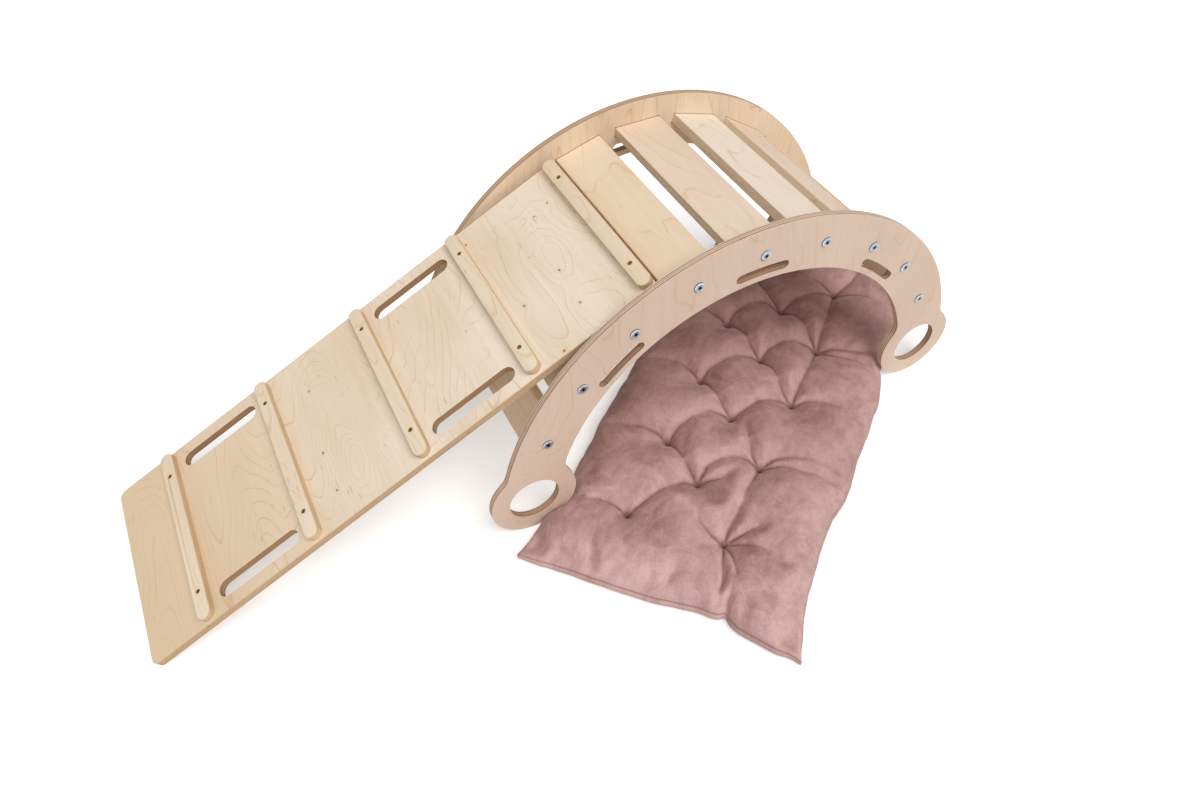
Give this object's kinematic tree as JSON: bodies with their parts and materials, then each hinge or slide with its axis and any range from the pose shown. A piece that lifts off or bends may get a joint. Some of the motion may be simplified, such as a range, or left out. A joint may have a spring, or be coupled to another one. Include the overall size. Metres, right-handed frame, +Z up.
{
  "type": "rocker arch with ramp and cushion",
  "caption": "Climbing arch that rocks when turned over: ring side panels on round feet, slats between, a rung ramp hooked on, a tufted cushion lying through it.",
  "frame": {"origin": "on the floor, under the middle of the bounding box of the whole set", "axes": "+X along the arch and the ramp, from the ramp's foot to the feet at the other end; +Y across the arch, from the near side panel to the far one; +Z up"},
  "size_m": [1.5676, 0.9158, 0.4749],
  "materials": {
    "panel_birch": "sanded birch plywood, clear matt varnish",
    "slat_birch": "sanded birch plywood, clear matt varnish",
    "ramp_birch": "sanded birch plywood, clear matt varnish",
    "rung_birch": "sanded wood, clear matt varnish",
    "zinc": "bright zinc plating",
    "yellow_zinc": "yellow zinc plating",
    "velvet": "short-pile velvet"
  },
  "bodies": {
    "arch": {"near_side_panel": "panel_birch", "far_side_panel": "panel_birch", "slat_1": "slat_birch", "slat_2": "slat_birch", "slat_3": "slat_birch", "slat_4": "slat_birch", "slat_5": "slat_birch", "slat_6": "slat_birch", "slat_7": "slat_birch", "slat_8": "slat_birch", "slat_9": "slat_birch", "near_bolts": "zinc", "far_bolts": "zinc", "near_barrel_nuts": "zinc", "far_barrel_nuts": "zinc", "cushion": "velvet"},
    "ramp": {"ramp_board": "ramp_birch", "rung_1": "rung_birch", "rung_2": "rung_birch", "rung_3": "rung_birch", "rung_4": "rung_birch", "rung_5": "rung_birch", "hook_rail": "rung_birch", "rung_screws": "yellow_zinc", "hook_screws": "yellow_zinc"}
  },
  "joints": [
    {"name": "ramp_lift", "type": "slide", "parent": "arch", "child": "ramp", "axis": [-0.4384, 0, 0.8988], "range_m": [0, 0.15]}
  ]
}
